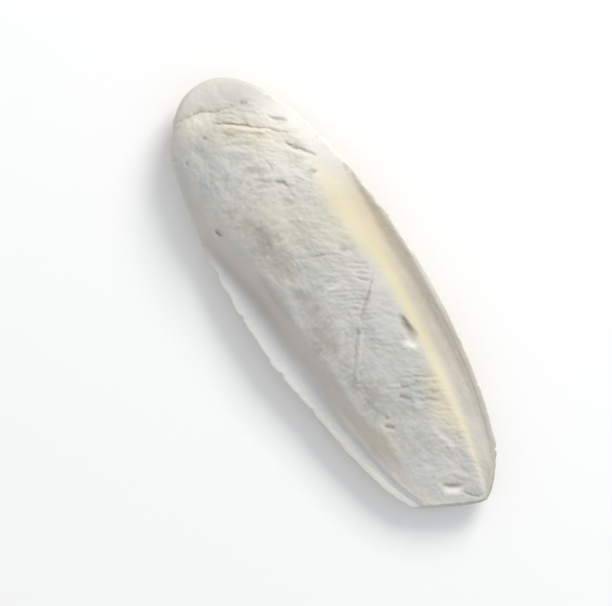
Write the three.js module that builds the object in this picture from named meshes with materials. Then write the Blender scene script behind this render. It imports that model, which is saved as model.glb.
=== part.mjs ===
// A dry cuttlebone, lying on its hard shield with the soft chalk side up.
// Millimetres, +Z up. +X points to the blunt head end and +Y to the bone's left edge.
// The origin is under the middle of the bone, on the surface that it rests on.
// It is one grown piece: a thin boat-shaped shield that ends in a wing along each side,
// and a loaf of chalk on top of it that fills the whole head end. The tail end is broken off.

import * as THREE from "three";

// Overall size.
const LENGTH = 152;
const WIDTH = 54.4;
const CROWN_HEIGHT = 18.4;

// Plan outline: half of a long oval on each side of its widest place, a little blunter at the head.
const WIDEST_X = 1;
const HEAD_REACH = LENGTH / 2 - WIDEST_X;
const HEAD_FULLNESS = 2.15;
const HEAD_BLUNTNESS = 2.22;
const BLUNT_FROM_X = 25;
const TAIL_REACH = 83;
const TAIL_FULLNESS = 1.8;
const TAIL_BLUNTNESS = 2;

// Places where the left edge stands out over the oval, or dips, by a share of the half width.
const HEAD_SWELL = { x: 63, length: 8, share: 0.072 };
const SIDE_DIP = { x: -25, length: 13, share: -0.025 };
const TAIL_SWELL = { x: -56, length: 9, share: 0.02 };

// The tail was snapped off: from its tip the break runs across to the left and slants back to the right.
// Each side widens by its slope, and more steeply at its rounded start.
const TIP_X = -LENGTH / 2;
const TIP_Y = -4.5;
const LEFT_BREAK = { slope: 1.3, roundness: 2.2 };
const RIGHT_BREAK = { slope: 0.43, roundness: 2 };

// The shield's underside: where it touches down, how far its ends and edges rise, and its ribs.
const TOUCH_X = 8;
const HEAD_RISE = 7.5;
const HEAD_RISE_POWER = 2.3;
const TAIL_RISE = 5.5;
const TAIL_RISE_POWER = 2.2;
const EDGE_RISE = 8.5;
const EDGE_RISE_POWER = 2.1;
const REST_FLAT_DEPTH = 0.35;
const RIB_GROOVE = { y: 8.5, spread: 0.03, width: 2.4, depth: 0.7 };
const OUTER_GROOVE = { y: 18, spread: 0.04, width: 2.2, depth: 0.35 };
const GROOVE_ENDS = { startIn: 1, fullIn: 7, fullPastBreak: 8 };

// The shield's thickness, at its rim and where the chalk starts, and the roundness of the rim.
const RIM_THICKNESS = 1.5;
const SHIELD_THICKENING = 0.1;
const RIM_ROUNDING = 1.2;
const BREAK_ROUNDING = 1.2;

// The chalk: where its crown is highest, how it falls to each end, and the shape of its sections.
const CROWN_X = 26;
const CROWN_AT_HEAD = 9.5;
const CROWN_HEAD_POWER = 2.7;
const CROWN_HEAD_ROUNDNESS = 0.52;
const CROWN_AT_TAIL = 8.2;
const CROWN_TAIL_POWER = 1.45;
const FOOT_SHARE = 0.76;
const SMALLEST_FOOT = 0.01;
const FOOT_FULL_FROM = 5;
const FOOT_FULL_TO = 50;
const SECTION_POWER = 3.4;
const HEAD_SECTION_POWER = 3.4;
const HEAD_SECTION_ROUNDNESS = 0.5;
const FOOT_FILLET = 6;
const FALL_PAST_FOOT = 2;
const SHOULDER = { share: 0.54, width: 2.8, size: 0.8 };
const SHOULDER_ENDS = { head: 30, fullAtHead: 8, fullAtTail: -30, tail: -72 };

// Marks on the chalk. Each follows its route of [x, y] places and fades at both ends;
// a negative depth is a raised lump.
const MARKS = [
  {
    name: "lip fissure",
    route: [[69.7, 11.5], [69, 6.9], [68.5, 3.8], [65.8, -0.6], [64, -5.6]],
    width: 1.1, depth: 0.5,
  },
  {
    name: "long fissure",
    route: [[62.8, 1.7], [60.1, -2.3], [57.5, -5.5], [53, -10.8], [48.6, -15.3]],
    width: 1.1, depth: 0.7,
  },
  {
    name: "long fissure's ledge",
    route: [[61.2, 2], [58.4, -2.4], [55.6, -6], [52.2, -10]],
    width: 1.4, depth: -0.4,
  },
  {
    name: "side fissure",
    route: [[46.9, -12.6], [44.1, -14.1], [41.7, -16.3], [38.7, -18.4]],
    width: 1.1, depth: 0.8,
  },
  { name: "short crack", route: [[56.9, -12.5], [54.2, -14.4], [52.4, -16.5]], width: 1, depth: 0.5 },
  { name: "head pit", route: [[64, -8.4], [63.3, -9.7]], width: 1.2, depth: 0.45 },
  { name: "flaked edge", route: [[38.4, -3.7], [37, -5.7], [35.2, -6.2]], width: 1.2, depth: 0.5 },
  { name: "left notch", route: [[36.4, 19.1], [35, 18.7], [33.8, 18.4]], width: 1.1, depth: 1 },
  {
    name: "cross crease",
    route: [[16.4, 4.6], [14.8, 1.3], [12.7, -3.1], [10.4, -7.3], [8.2, -10.4]],
    width: 1.1, depth: 0.35,
  },
  { name: "cross crease's lip", route: [[11.5, -6.8], [9.4, -9.2], [7.9, -11]], width: 1.4, depth: -0.35 },
  {
    name: "upper scratch",
    route: [[1.2, -14.6], [-3.5, -10.2], [-6.4, -6.6], [-9.7, -2.8]],
    width: 1, depth: 0.35,
  },
  {
    name: "lower scratch",
    route: [[-10.9, -0.8], [-13.2, 0.7], [-16.3, 3.5], [-23.3, 8.7]],
    width: 1, depth: 0.3,
  },
  { name: "gouge", route: [[-15.8, -13.4], [-18.9, -13.2], [-23.1, -13.5]], width: 1.3, depth: 1.4 },
  { name: "gouge's heap", route: [[-23.6, -10.2], [-25.2, -11.1]], width: 1.7, depth: -0.7 },
  { name: "striped pits", route: [[-33.4, -1.9], [-35.7, 0], [-37.8, -2.3]], width: 1.1, depth: 0.35 },
  { name: "tail pit", route: [[-41, 8.4], [-42, 7]], width: 1.2, depth: 0.45 },
  {
    name: "tail ridge",
    route: [[-49.2, -2.3], [-51.7, -3.5], [-54.1, -4], [-58, -4.6]],
    width: 1.3, depth: -0.35,
  },
  { name: "tail notch", route: [[-65.2, 3.9], [-66.5, 1.8], [-68.1, -0.2]], width: 1.1, depth: 0.8 },
  { name: "tail notch's heap", route: [[-67.2, 4.3], [-69.2, 1.3]], width: 1.5, depth: -0.5 },
  { name: "tail step", route: [[-69.7, 0], [-71.6, -1.2], [-73.2, -3], [-74.3, -5.6]], width: 1, depth: 0.4 },
  {
    name: "long hollow",
    route: [[40, 12.5], [28, 10.5], [14, 8.5], [4, 9], [-16, 9], [-36, 7]],
    width: 4.2, depth: 0.42,
  },
];
const MARK_END_DEPTH = 0.3;

// Broad uneven swells of the chalk: the lengths of two crossing waves, and how each of them slants.
const SWELL = { length: 22, slantWidth: 56.5, width: 18.8, slantLength: 88, size: 0.28 };
const SWELL_ENDS = { startIn: 3, fullIn: 12 };

// Mesh: rings from end to end, crowded towards the ends, and points round each ring. Of those, some lie
// on the chalk side, where a share of them crosses the chalk between its feet and the rest the wings.
// The feet are followed only where they lie between two shares of the half width.
const RINGS = 76;
const RING_POINTS = 62;
const CHALK_POINTS = 42;
const END_CROWDING = 0.1;
const FOOT_AT = 0.76;
const FOOT_LIMITS = { in: 0.6, out: 0.93 };
const SMALLEST_HALF = 1e-6;

const mix = (a, b, share) => a + (b - a) * share;
const smoothstep = THREE.MathUtils.smoothstep;

// The larger of two heights, blended over a fillet of the given size where they are close.
function filletMax(a, b, fillet) {
  const overlap = Math.max(fillet - Math.abs(a - b), 0) / fillet;
  return Math.max(a, b) + (overlap * overlap * fillet) / 4;
}

// Where a share of the way, 0 to 1, lies between -1 and 1: even in the middle and crowded towards both ends.
function crowded(share) {
  const reach = END_CROWDING / (1 - END_CROWDING);
  const fromEnd = Math.min(share, 1 - share);
  const place =
    fromEnd < END_CROWDING
      ? reach * (fromEnd / END_CROWDING) ** 2
      : reach + (2 - 2 * reach) * ((fromEnd - END_CROWDING) / (1 - 2 * END_CROWDING));
  return share < 0.5 ? place - 1 : 1 - place;
}

// How much of the outline's span is used up at x: 0 at the widest place and 1 at either end.
function spent(x) {
  const fromWidest = x - WIDEST_X;
  return fromWidest > 0
    ? (fromWidest / HEAD_REACH) ** HEAD_FULLNESS
    : (-fromWidest / TAIL_REACH) ** TAIL_FULLNESS;
}

// The power of y in the oval's formula: 2 is an ellipse, and more is blunter.
const bluntness = (x) => mix(TAIL_BLUNTNESS, HEAD_BLUNTNESS, smoothstep(x, WIDEST_X, BLUNT_FROM_X));

// Half width of the whole oval at x, as if its tail weren't broken.
const halfWidth = (x) => (WIDTH / 2) * Math.max(1 - spent(x), 0) ** (1 / bluntness(x));

// How many times wider than the oval the bone is at x, on the side where y lies.
function swelling(x, y) {
  const share = (swell) => swell.share * Math.exp(-(((x - swell.x) / swell.length) ** 2));
  return y > 0 ? 1 + share(HEAD_SWELL) + share(SIDE_DIP) + share(TAIL_SWELL) : 1;
}

// Distance from the midline to the unbroken edge, on the side where y lies.
const grownReach = (x, y) => halfWidth(x) * swelling(x, y);

// How far the broken edge lies to one side of the tip at x.
function breakReach(side, x) {
  const fromTip = Math.max(x - TIP_X, 0);
  return side.slope * fromTip + side.roundness * Math.sqrt(fromTip);
}

// The outline's left and right edge at x.
const leftEdge = (x) => Math.min(grownReach(x, 1), TIP_Y + breakReach(LEFT_BREAK, x));
const rightEdge = (x) => Math.max(-grownReach(x, -1), TIP_Y - breakReach(RIGHT_BREAK, x));

// Distance in plan from the broken edge on one side, for a place this far along and sideways of the tip.
function sideBreakDistance(side, fromTip, sideways) {
  const root = Math.sqrt(side.roundness ** 2 + 4 * side.slope * Math.max(sideways, 0));
  const start = (root - side.roundness) / (2 * side.slope);
  return (fromTip - start ** 2) / Math.hypot(1, (2 * start) / root);
}

// Distance in plan from the broken tail edge, on either side of its tip.
function breakDistance(x, y) {
  const left = sideBreakDistance(LEFT_BREAK, x - TIP_X, y - TIP_Y);
  const right = sideBreakDistance(RIGHT_BREAK, x - TIP_X, TIP_Y - y);
  return Math.max(Math.min(left, right), 0);
}

// Distance in plan from the grown edge, true near the edge.
function grownDistance(x, y) {
  const half = WIDTH / 2;
  const power = bluntness(x);
  const across = Math.abs(y) / swelling(x, y) / half;
  const inside = 1 - spent(x) - across ** power;
  const reach = x > WIDEST_X ? HEAD_REACH : TAIL_REACH;
  const fullness = x > WIDEST_X ? HEAD_FULLNESS : TAIL_FULLNESS;
  const alongSlope = (fullness / reach) * (Math.abs(x - WIDEST_X) / reach) ** (fullness - 1);
  const acrossSlope = (power / half) * across ** (power - 1);
  return Math.max(inside, 0) / Math.max(Math.hypot(alongSlope, acrossSlope), 1 / half);
}

// How far the surfaces have opened from the rim's middle: 0 on the rim and 1 past its rounding.
function openedFromRim(x, y) {
  const open = (distance, rounding) => Math.sqrt(1 - (1 - Math.min(distance / rounding, 1)) ** 2);
  return Math.min(open(grownDistance(x, y), RIM_ROUNDING), open(breakDistance(x, y), BREAK_ROUNDING));
}

// The shield's plain underside, curved up towards its ends and edges.
function shieldCurve(x, y) {
  const fromTouch = x - TOUCH_X;
  const keel =
    fromTouch > 0
      ? HEAD_RISE * (fromTouch / (LENGTH / 2 - TOUCH_X)) ** HEAD_RISE_POWER
      : TAIL_RISE * (-fromTouch / (LENGTH / 2 + TOUCH_X)) ** TAIL_RISE_POWER;
  return keel + EDGE_RISE * (Math.abs(y) / (WIDTH / 2)) ** EDGE_RISE_POWER;
}

// Depth of the long grooves beside the shield's middle rib, which spread towards the head.
function ribGrooves(x, y) {
  const grooves = [RIB_GROOVE, OUTER_GROOVE].map((groove) => {
    const across = (Math.abs(y) - groove.y - groove.spread * x) / groove.width;
    return groove.depth * Math.exp(-across * across);
  });
  const pastRim = smoothstep(grownDistance(x, y), GROOVE_ENDS.startIn, GROOVE_ENDS.fullIn);
  const pastBreak = smoothstep(breakDistance(x, y), 0, GROOVE_ENDS.fullPastBreak);
  return pastRim * pastBreak * (grooves[0] + grooves[1]);
}

// The underside, with the small flat that the bone rests on.
const underside = (x, y) => Math.max(shieldCurve(x, y) + ribGrooves(x, y) - REST_FLAT_DEPTH, 0);

// The shield's upper face, which shows as the wings' gutters.
function wingTop(x, y) {
  return shieldCurve(x, y) - REST_FLAT_DEPTH + RIM_THICKNESS + SHIELD_THICKENING * grownDistance(x, y);
}

// Height of the chalk's crown along the middle of the bone.
function crown(x) {
  if (x > CROWN_X) {
    const towardsHead = Math.min((x - CROWN_X) / (LENGTH / 2 - CROWN_X), 1);
    const rounded = (1 - towardsHead ** CROWN_HEAD_POWER) ** CROWN_HEAD_ROUNDNESS;
    return mix(CROWN_AT_HEAD, CROWN_HEIGHT, rounded);
  }
  const towardsTail = (CROWN_X - x) / (CROWN_X + LENGTH / 2);
  return mix(CROWN_HEIGHT, CROWN_AT_TAIL, towardsTail ** CROWN_TAIL_POWER);
}

// Distance from the midline to the chalk's foot, which reaches the rim at the head end.
function footReach(x, y) {
  const share = mix(FOOT_SHARE, 1, smoothstep(x, FOOT_FULL_FROM, FOOT_FULL_TO));
  return Math.max(grownReach(x, y) * share, SMALLEST_FOOT);
}

// The chalk's upper face: a rounded loaf that fills the head end and leaves the wings bare behind it.
function chalkTop(x, y) {
  const towardsHead = smoothstep(x, FOOT_FULL_FROM, FOOT_FULL_TO);
  const foot = footReach(x, y);
  const across = Math.abs(y) / foot;
  const roundness = mix(1, HEAD_SECTION_ROUNDNESS, towardsHead);
  const power = mix(SECTION_POWER, HEAD_SECTION_POWER, towardsHead);
  const rest = Math.max(1 - across ** power, 0) ** roundness;
  const past = Math.max(across - 1, 0) * foot;
  const base = wingTop(x, THREE.MathUtils.clamp(y, -foot, foot));
  const shoulder = (Math.abs(y) - SHOULDER.share * halfWidth(x)) / SHOULDER.width;
  const shoulderLength =
    (1 - smoothstep(x, SHOULDER_ENDS.fullAtHead, SHOULDER_ENDS.head)) *
    smoothstep(x, SHOULDER_ENDS.tail, SHOULDER_ENDS.fullAtTail);
  const ridge = SHOULDER.size * shoulderLength * Math.exp(-shoulder * shoulder);
  return mix(base, crown(x), rest) + ridge - FALL_PAST_FOOT * past;
}

// Distance in plan from a mark's route, and how far along the route its nearest place is, 0 to 1.
function nearestOnRoute(route, x, y) {
  let nearest = Infinity;
  let along = 0;
  for (let i = 0; i + 1 < route.length; i++) {
    const [startX, startY] = route[i];
    const [endX, endY] = route[i + 1];
    const dx = endX - startX;
    const dy = endY - startY;
    const dot = (x - startX) * dx + (y - startY) * dy;
    const share = THREE.MathUtils.clamp(dot / (dx * dx + dy * dy), 0, 1);
    const distance = Math.hypot(x - startX - share * dx, y - startY - share * dy);
    if (distance < nearest) {
      nearest = distance;
      along = (i + share) / (route.length - 1);
    }
  }
  return { nearest, along };
}

// Depth that all the marks take off the chalk at a place.
function markDepth(x, y) {
  let depth = 0;
  for (const mark of MARKS) {
    const { nearest, along } = nearestOnRoute(mark.route, x, y);
    const inward = Math.sqrt(Math.sin(Math.PI * along));
    const fade = mark.route.length > 2 ? mix(MARK_END_DEPTH, 1, inward) : 1;
    depth += mark.depth * fade * Math.exp(-((nearest / mark.width) ** 2));
  }
  return depth;
}

// The broad swells, strongest on the crown.
function swells(x, y) {
  const along = Math.sin(2 * Math.PI * (x / SWELL.length + y / SWELL.slantWidth));
  const across = Math.cos(2 * Math.PI * (y / SWELL.width - x / SWELL.slantLength));
  return SWELL.size * along * across * smoothstep(grownDistance(x, y), SWELL_ENDS.startIn, SWELL_ENDS.fullIn);
}

// The whole upper side: chalk and wings joined by a fillet, with the marks cut in.
function upperSide(x, y) {
  const joined = filletMax(chalkTop(x, y), wingTop(x, y), FOOT_FILLET);
  return joined + swells(x, y) - markDepth(x, y);
}

// The y of a point across the chalk side, from -1 on the right rim to 1 on the left. A fixed share of
// the points lies on each foot, so that the mesh follows it.
function chalkY(x, across) {
  const middle = (leftEdge(x) + rightEdge(x)) / 2;
  const half = Math.max((leftEdge(x) - rightEdge(x)) / 2, SMALLEST_HALF);
  const side = Math.sign(across);
  const foot = (side * footReach(x, side) - middle) / (side * half);
  const footAt = THREE.MathUtils.clamp(foot, FOOT_LIMITS.in, FOOT_LIMITS.out);
  const out = Math.abs(across);
  const wing = 1 - (1 - (out - FOOT_AT) / (1 - FOOT_AT)) ** 2;
  const share = out < FOOT_AT ? (footAt * out) / FOOT_AT : mix(footAt, 1, wing);
  return middle + side * half * share;
}

// The point of the surface at a share of the way from tail to head, and a share of the way round
// from the left edge over the chalk to the right edge and back along the shield.
function surfacePoint(alongShare, roundShare) {
  const x = (LENGTH / 2) * crowded(alongShare);
  const chalkShare = CHALK_POINTS / RING_POINTS;
  const onChalk = roundShare < chalkShare;
  const underShare = (roundShare - chalkShare) / (1 - chalkShare);
  const y = onChalk
    ? chalkY(x, 1 - (2 * roundShare) / chalkShare)
    : mix(rightEdge(x), leftEdge(x), (crowded(underShare) + 1) / 2);
  const rimMiddle = shieldCurve(x, y) - REST_FLAT_DEPTH + RIM_THICKNESS / 2;
  const face = onChalk ? upperSide(x, y) : underside(x, y);
  return [x, y, mix(rimMiddle, face, openedFromRim(x, y))];
}

// A unit sphere's rings become the bone's sections, and its two poles the ends.
function boneGeometry() {
  const geometry = new THREE.SphereGeometry(1, RING_POINTS, RINGS);
  const position = geometry.getAttribute("position");
  const uv = geometry.getAttribute("uv");
  for (let i = 0; i < position.count; i++) {
    position.setXYZ(i, ...surfacePoint(uv.getY(i), uv.getX(i)));
  }
  geometry.computeVertexNormals();
  return geometry;
}

// Matt aragonite chalk, slightly warm white.
const chalk = new THREE.MeshStandardMaterial({ color: 0xe6e2d8, roughness: 0.92, metalness: 0 });

const bone = new THREE.Mesh(boneGeometry(), chalk);
bone.name = "cuttlebone";

const group = new THREE.Group();
group.add(bone);

export default group;
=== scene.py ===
"""Dresses a dry cuttlebone: the fine surface of its chalk and shield, their finishes, light and camera.

The bone lies on its hard shield with the soft chalk side up. +X points to its blunt head end and +Y to
its left edge. Shapes are worked out in millimetres and turned to metres where a mesh is written.
"""

import logging
import math
from collections.abc import Sequence
from dataclasses import dataclass
from enum import Enum

import bmesh
import bpy
import numpy as np
from mathutils import Matrix, Vector, noise


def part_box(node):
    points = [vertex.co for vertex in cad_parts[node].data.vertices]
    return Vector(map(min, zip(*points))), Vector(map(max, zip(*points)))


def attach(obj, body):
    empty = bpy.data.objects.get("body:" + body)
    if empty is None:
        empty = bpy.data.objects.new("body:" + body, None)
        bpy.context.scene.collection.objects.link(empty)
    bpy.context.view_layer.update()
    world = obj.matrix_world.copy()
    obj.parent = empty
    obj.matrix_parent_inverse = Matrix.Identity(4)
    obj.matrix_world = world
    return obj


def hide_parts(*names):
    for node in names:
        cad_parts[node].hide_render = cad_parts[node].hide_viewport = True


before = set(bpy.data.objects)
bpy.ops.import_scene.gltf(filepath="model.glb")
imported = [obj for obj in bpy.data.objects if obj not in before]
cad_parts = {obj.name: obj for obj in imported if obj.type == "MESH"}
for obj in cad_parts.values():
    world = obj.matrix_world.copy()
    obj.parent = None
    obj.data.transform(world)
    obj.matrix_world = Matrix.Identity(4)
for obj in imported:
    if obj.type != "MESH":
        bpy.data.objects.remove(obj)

Field = np.ndarray
Place = tuple[float, float]
Span = tuple[float, float]
Socket = bpy.types.NodeSocket
Tree = bpy.types.NodeTree

NODE = "cuttlebone"
SKIN = "cuttlebone_skin"
METRES = 0.001
# Widths in mm that are divided by are kept from 0: a share of the width needs little care, the net more.
LEAST_WIDTH = 0.01
TINY = 1e-6
LOG = logging.getLogger("cuttlebone")


class Tone(Enum):
    """The colours of the bone and of the studio, as sRGB hex values."""

    CHALK = 0xCBC9C4
    CHALK_GREY = 0xBCBEBA
    CHALK_CREAM = 0xDCD0AB
    # Also the warm colour of the left flank's painted shade.
    CHALK_DUST_AND_SHADE = 0xD4C8C0
    # The white of painted highlights.
    HIGHLIGHT_WHITE = 0xEEEBE5
    # The colour of painted shade in hollows and along the loaf's foot, and of grubby streaks.
    CREVICE = 0x9C8F7B
    # Painted shade with brown grime in cracks and pits.
    PIT_BROWN = 0x6E5B49
    LEFT_WING = 0xD1D3D4
    RIGHT_WING = 0xCDC2B1
    HORN = 0xC79A5E
    SHIELD = 0xDAD6CF
    SHIELD_LINE = 0xC2BAAC
    PAPER = 0xFDFDFC
    DAYLIGHT = 0xFFFDF8
    SKY = 0xF3F6FA


class Side(Enum):
    """The two sides of the bone's midline, as the sign of y."""

    LEFT = 1
    RIGHT = -1


def linear(tone: Tone) -> tuple[float, float, float, float]:
    """Turns an sRGB tone to linear colour.

    Args:
        tone: the tone to turn.

    Returns:
        Red, green and blue as linear shares, and an alpha of 1.
    """
    shares = [(tone.value >> shift & 0xFF) / 255 for shift in (16, 8, 0)]
    red, green, blue = (s / 12.92 if s <= 0.04045 else ((s + 0.055) / 1.055) ** 2.4 for s in shares)
    return red, green, blue, 1.0


def mix(low: Field | float, high: Field | float, share: Field | float) -> Field:
    """Returns what lies at a share of the way from low to high."""
    return low + (high - low) * share


def ramp(value: Field | float, start: float, end: float) -> Field:
    """Returns 0 at the start and 1 at the end, smoothly. The end may lie below the start, for a fall."""
    share = np.clip((value - start) / (end - start), 0, 1)
    return share * share * (3 - 2 * share)


def bell(distance: Field, width: float) -> Field:
    """Returns 1 at no distance, falling to about a third at the width."""
    return np.exp(-((distance / width) ** 2))


def sawtooth(phase: Field, climb: float) -> Field:
    """Returns a line from -0.5 to 0.5 that climbs for a share of each whole phase and falls in the rest."""
    step = phase - np.floor(phase)
    return np.where(step < climb, step / climb, (1 - step) / (1 - climb)) - 0.5


def crowded(share: Field, crowding: float) -> Field:
    """Spreads places between -1 and 1, evenly in the middle and ever closer towards both ends.

    Args:
        share: shares of the way, from 0 to 1.
        crowding: the share of the places in each crowded end.

    Returns:
        The places, from -1 to 1.
    """
    reach = crowding / (1 - crowding)
    from_end = np.minimum(share, 1 - share)
    near = reach * (from_end / crowding) ** 2
    far = reach + (2 - 2 * reach) * (from_end - crowding) / (1 - 2 * crowding)
    place = np.where(from_end < crowding, near, far)
    return np.where(share < 0.5, place - 1, 1 - place)


@dataclass(frozen=True)
class Clouds:
    """Smooth random values over the bone's plan.

    Attributes:
        size: what the values, from about -1 to 1, are multiplied by.
        grain: the size of the largest blots, in mm.
        seed: which of the random fields is taken.
        octaves: how many ever finer layers are added.
        roughness: how fast the finer layers weaken.
        step: how many times finer each layer is than the one before.
    """

    size: float
    grain: float
    seed: float
    octaves: int = 3
    roughness: float = 0.9
    step: float = 2.1

    def at(self, x: Field | float, y: Field | float) -> Field:
        """Gives the values at some places.

        Args:
            x: places along, in mm.
            y: places across, in mm.

        Returns:
            Values of the shape of x and y.
        """
        flat_x, flat_y = np.broadcast_arrays(x, y)
        places = zip((flat_x / self.grain).ravel().tolist(), (flat_y / self.grain).ravel().tolist())
        layers = self.roughness, self.step, self.octaves
        values = (noise.fractal(Vector((a, b, self.seed)), *layers) for a, b in places)
        return self.size * np.fromiter(values, float, flat_x.size).reshape(flat_x.shape)


@dataclass(frozen=True)
class BrokenSide:
    """One side of the snapped tail edge: a straight run with a rounded start at the tip.

    Attributes:
        slope: mm of width for each mm from the tip.
        roundness: how blunt the tip is on this side.
    """

    slope: float
    roundness: float

    def reach(self, from_tip: Field) -> Field:
        """Returns how far the edge lies to the side at a distance from the tip."""
        start = np.maximum(from_tip, 0)
        return self.slope * start + self.roundness * np.sqrt(start)

    def distance(self, from_tip: Field, sideways: Field) -> Field:
        """Measures how far inside the broken edge a place is.

        Args:
            from_tip: distance along the bone from the tip, in mm.
            sideways: distance to this side of the tip, in mm.

        Returns:
            Distances square to the edge, in mm.
        """
        out = np.maximum(sideways, 0)
        root = np.sqrt(self.roundness**2 + 4 * self.slope * out)
        start = (root - self.roundness) / (2 * self.slope)
        return (from_tip - start**2) / np.hypot(1, 2 * start / root)


@dataclass(frozen=True)
class Swell:
    """A place where the left edge stands out over the oval, or dips, by a share of the half width."""

    x: float
    length: float
    share: float


@dataclass(frozen=True)
class Outline:
    """The bone's plan: a long oval, fuller behind its middle, with its tail snapped off slantwise.

    Its methods take places along the bone as x and across it as y, in mm.
    """

    length: float
    width: float
    widest_x: float = 1.0
    head_fullness: float = 2.15
    head_bluntness: float = 2.22
    tail_reach: float = 83.0
    tail_fullness: float = 1.8
    tail_bluntness: float = 2.0
    blunt_from_x: float = 25.0
    swells: Sequence[Swell] = (
        Swell(63.0, 8.0, 0.072),
        Swell(-25.0, 13.0, -0.025),
        Swell(-56.0, 9.0, 0.02),
    )
    tip_y: float = -4.5
    left_break: BrokenSide = BrokenSide(1.3, 2.2)
    right_break: BrokenSide = BrokenSide(0.43, 2.0)
    rim_rounding: float = 1.2
    break_rounding: float = 1.2
    # The thin rim is worn back unevenly and nicked, but not at the bone's two ends. A row is the line of the
    # random values that is read along a rim.
    wear: Clouds = Clouds(0.22, 5.0, 3.1, 5)
    wear_row: float = 40.0
    mean_wear: float = 0.022
    left_fraying: float = 0.7
    right_fraying: float = 1.5
    nicks: Clouds = Clouds(1.3, 3.2, 8.4, 2)
    nick_row: float = 9.0
    least_nick: float = 0.455
    worn_half_width: Span = (2.0, 12.0)
    worn_from_tip: Span = (0.0, 6.0)
    frayed_tail: Span = (-8.0, 0.0)
    frayed_head: Span = (70.0, 58.0)

    @property
    def tip_x(self) -> float:
        """The x of the broken tip."""
        return -self.length / 2

    @property
    def head_reach(self) -> float:
        """The length of the oval ahead of its widest place."""
        return self.length / 2 - self.widest_x

    def spent(self, x: Field) -> Field:
        """Gives how much of the oval's span is used up.

        Args:
            x: places along, in mm.

        Returns:
            0 where the oval is widest, and 1 at its ends.
        """
        ahead, behind = np.maximum(x - self.widest_x, 0), np.maximum(self.widest_x - x, 0)
        head = (ahead / self.head_reach) ** self.head_fullness
        return head + (behind / self.tail_reach) ** self.tail_fullness

    def bluntness(self, x: Field) -> Field:
        """Returns the power of y in the oval's formula: 2 is an ellipse, and more is blunter."""
        return mix(self.tail_bluntness, self.head_bluntness, ramp(x, self.widest_x, self.blunt_from_x))

    def half_width(self, x: Field) -> Field:
        """Returns the half width of the whole oval, as if its tail weren't broken."""
        return self.width / 2 * np.maximum(1 - self.spent(x), 0) ** (1 / self.bluntness(x))

    def swelling(self, x: Field, y: Field | float) -> Field:
        """Returns how many times wider than the oval the side is where y lies."""
        left = 1 + sum(swell.share * bell(x - swell.x, swell.length) for swell in self.swells)
        return np.where(y > 0, left, 1)

    def grown_reach(self, x: Field, y: Field | float) -> Field:
        """Returns the distance from the midline to the unbroken edge on the side where y lies."""
        return self.half_width(x) * self.swelling(x, y)

    def edge(self, x: Field, side: Side) -> Field:
        """Gives the y of the outline on one side.

        Args:
            x: places along, in mm.
            side: which edge.

        Returns:
            The edge's y at each x.
        """
        broken = self.left_break if side is Side.LEFT else self.right_break
        broken_reach = side.value * self.tip_y + broken.reach(x - self.tip_x)
        return side.value * np.minimum(self.grown_reach(x, side.value), broken_reach)

    def raggedness(self, x: Field, side: Side) -> Field:
        """Gives how far the thin rim is worn back.

        Args:
            x: places along, in mm.
            side: which edge.

        Returns:
            Distances to take off the edge, in mm.
        """
        wear = self.wear.at(x, side.value * self.wear_row)
        nicks = np.maximum(self.nicks.at(x, side.value * self.nick_row) - self.least_nick, 0)
        ends = ramp(self.half_width(x), *self.worn_half_width) * ramp(x - self.tip_x, *self.worn_from_tip)
        fraying = 1 + (self.left_fraying if side is Side.LEFT else self.right_fraying * self.frayed(x))
        return ends * (fraying * wear + self.mean_wear + nicks)

    def frayed(self, x: Field) -> Field:
        """Returns where along the bone the right rim has crumbled most, from 0 to 1."""
        return ramp(x, *self.frayed_tail) * ramp(x, *self.frayed_head)

    def break_distance(self, x: Field, y: Field) -> Field:
        """Returns the distance in plan from the broken tail edge."""
        left, right = (
            broken.distance(x - self.tip_x, side * (y - self.tip_y))
            for broken, side in ((self.left_break, 1), (self.right_break, -1))
        )
        return np.maximum(np.minimum(left, right), 0)

    def grown_distance(self, x: Field, y: Field) -> Field:
        """Gives the distance in plan from the grown edge, true near the edge.

        Args:
            x: places along, in mm.
            y: places across, in mm.

        Returns:
            Distances in mm.
        """
        half = self.width / 2
        power_y = self.bluntness(x)
        across = np.abs(y) / self.swelling(x, y) / half
        inside = 1 - self.spent(x) - across**power_y
        reach = np.where(x > self.widest_x, self.head_reach, self.tail_reach)
        power = np.where(x > self.widest_x, self.head_fullness, self.tail_fullness)
        slope_x = power / reach * (np.abs(x - self.widest_x) / reach) ** (power - 1)
        slope_y = power_y / half * across ** (power_y - 1)
        return np.maximum(inside, 0) / np.maximum(np.hypot(slope_x, slope_y), 1 / half)

    def opened(self, x: Field, y: Field) -> Field:
        """Returns how far the faces have opened: 0 in the rim's middle and 1 past its rounding."""
        spans = self.grown_distance(x, y) / self.rim_rounding, self.break_distance(x, y) / self.break_rounding
        return np.sqrt(np.minimum(*(1 - (1 - np.minimum(span, 1)) ** 2 for span in spans)))

    def gone(self, x: Field, start_x: float) -> tuple[Field, Field]:
        """Returns the shares of the ways from start_x to the head end and to the tail tip that x has gone."""
        ends = (self.length / 2, -self.length / 2)
        return tuple(np.clip((x - start_x) / (end - start_x), 0, 1) for end in ends)


@dataclass(frozen=True)
class Groove:
    """A long groove on each side of the underside's middle.

    Attributes:
        y: how far out it lies at the bone's middle, in mm.
        spread: how much further out it lies for each mm towards the head.
        width: how far it reaches to each side, in mm.
        depth: how deep it is, in mm.
    """

    y: float
    spread: float
    width: float
    depth: float

    def at(self, x: Field, y: Field) -> Field:
        """Returns the groove's depth at some places, in mm."""
        return self.depth * bell(np.abs(y) - self.y - self.spread * x, self.width)


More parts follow.
